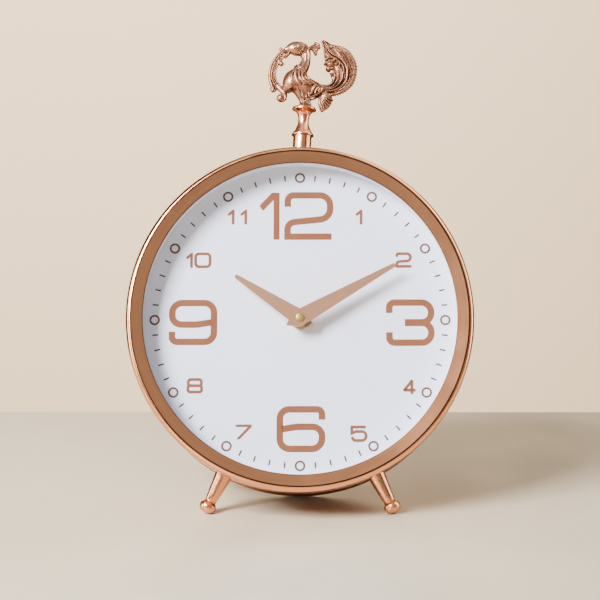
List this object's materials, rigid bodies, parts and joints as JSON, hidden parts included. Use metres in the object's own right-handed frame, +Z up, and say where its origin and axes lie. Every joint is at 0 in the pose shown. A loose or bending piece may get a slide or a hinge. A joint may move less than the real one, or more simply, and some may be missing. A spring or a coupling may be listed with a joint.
{
  "type": "table clock",
  "caption": "Round quartz table clock in rose-copper metal, leaning back on two turned feet, with a white dial, hands and a cast peacock finial.",
  "frame": {"origin": "middle of the bounding box on the surface that the clock stands on", "axes": "+Z up, -Y towards the viewer of the dial, +X to that viewer's right"},
  "size_m": [0.1708, 0.1056, 0.2333],
  "materials": {
    "copper_satin": "rose-copper plate, satin brushed with polished rims",
    "copper_turned": "rose-copper plate, polished turned",
    "copper_cast": "rose-copper plate on a cast ornament, darkened in the recesses",
    "clear_glass": "clear polished",
    "white_plastic": "matt white",
    "dial_white": "matt white print coat",
    "back_paint": "copper-coloured matt paint",
    "zinc_steel": "zinc plate",
    "black_plastic": "fine moulded grain",
    "brass": "plain turned",
    "black_rubber": "matt",
    "board_green": "solder mask",
    "crystal_can": "drawn can",
    "stator_iron": "stamped",
    "coil_copper": "enamelled winding",
    "battery_skin": "plain wrapped sleeve",
    "wheel_plastic": "moulded",
    "hand_copper": "matt rose lacquer"
  },
  "bodies": {
    "case": {"case_drum": "copper_satin", "bezel_ring": "copper_satin", "glass_lens": "clear_glass", "dial_spacer": "white_plastic", "dial_plate": "dial_white", "back_cover": "back_paint", "cover_tabs": "zinc_steel", "cover_screws": "zinc_steel", "right_foot": "copper_turned", "left_foot": "copper_turned", "foot_bolts": "zinc_steel", "finial_collar": "copper_turned", "finial_column": "copper_turned", "finial_stud": "zinc_steel", "finial_washer": "zinc_steel", "finial_nut": "zinc_steel", "peacock_finial": "copper_cast", "movement_housing": "black_plastic", "movement_back": "black_plastic", "threaded_bush": "brass", "rubber_washer": "black_rubber", "movement_nut": "brass", "train_box": "black_plastic", "circuit_board": "board_green", "quartz_crystal": "crystal_can", "stator_core": "stator_iron", "drive_coil": "coil_copper", "contact_plus": "zinc_steel", "contact_minus": "zinc_steel"},
    "hour": {"hour_wheel": "wheel_plastic", "hour_hand": "hand_copper"},
    "minute": {"minute_arbor": "brass", "minute_hand": "hand_copper", "minute_cap": "brass"},
    "motion_wheel": {"minute_wheel": "wheel_plastic"},
    "knob": {"setting_knob": "black_plastic"},
    "battery": {"battery_cell": "battery_skin"}
  },
  "joints": [
    {"name": "minute_turn", "type": "hinge", "parent": "case", "child": "minute", "pos_m": [0, -0.01458, 0.09433], "axis": [0, 0.9592, -0.2827], "continuous": true},
    {"name": "hour_turn", "type": "hinge", "parent": "case", "child": "hour", "pos_m": [0, -0.01458, 0.09433], "axis": [0, 0.9592, -0.2827], "continuous": true},
    {"name": "motion_wheel_turn", "type": "hinge", "parent": "case", "child": "motion_wheel", "pos_m": [0.00594, -0.0129, 0.10003], "axis": [0, 0.9592, -0.2827], "continuous": true},
    {"name": "knob_turn", "type": "hinge", "parent": "case", "child": "knob", "pos_m": [0.01066, -0.01059, 0.10787], "axis": [0, 0.9592, -0.2827], "continuous": true},
    {"name": "battery_slide", "type": "slide", "parent": "case", "child": "battery", "axis": [0, 0.9592, -0.2827], "range_m": [0, 0.02]}
  ],
  "couplings": [
    {"joint": "hour_turn", "follows": "minute_turn", "ratio": 0.083333},
    {"joint": "motion_wheel_turn", "follows": "minute_turn", "ratio": -0.33333},
    {"joint": "knob_turn", "follows": "minute_turn", "ratio": 0.66667}
  ]
}
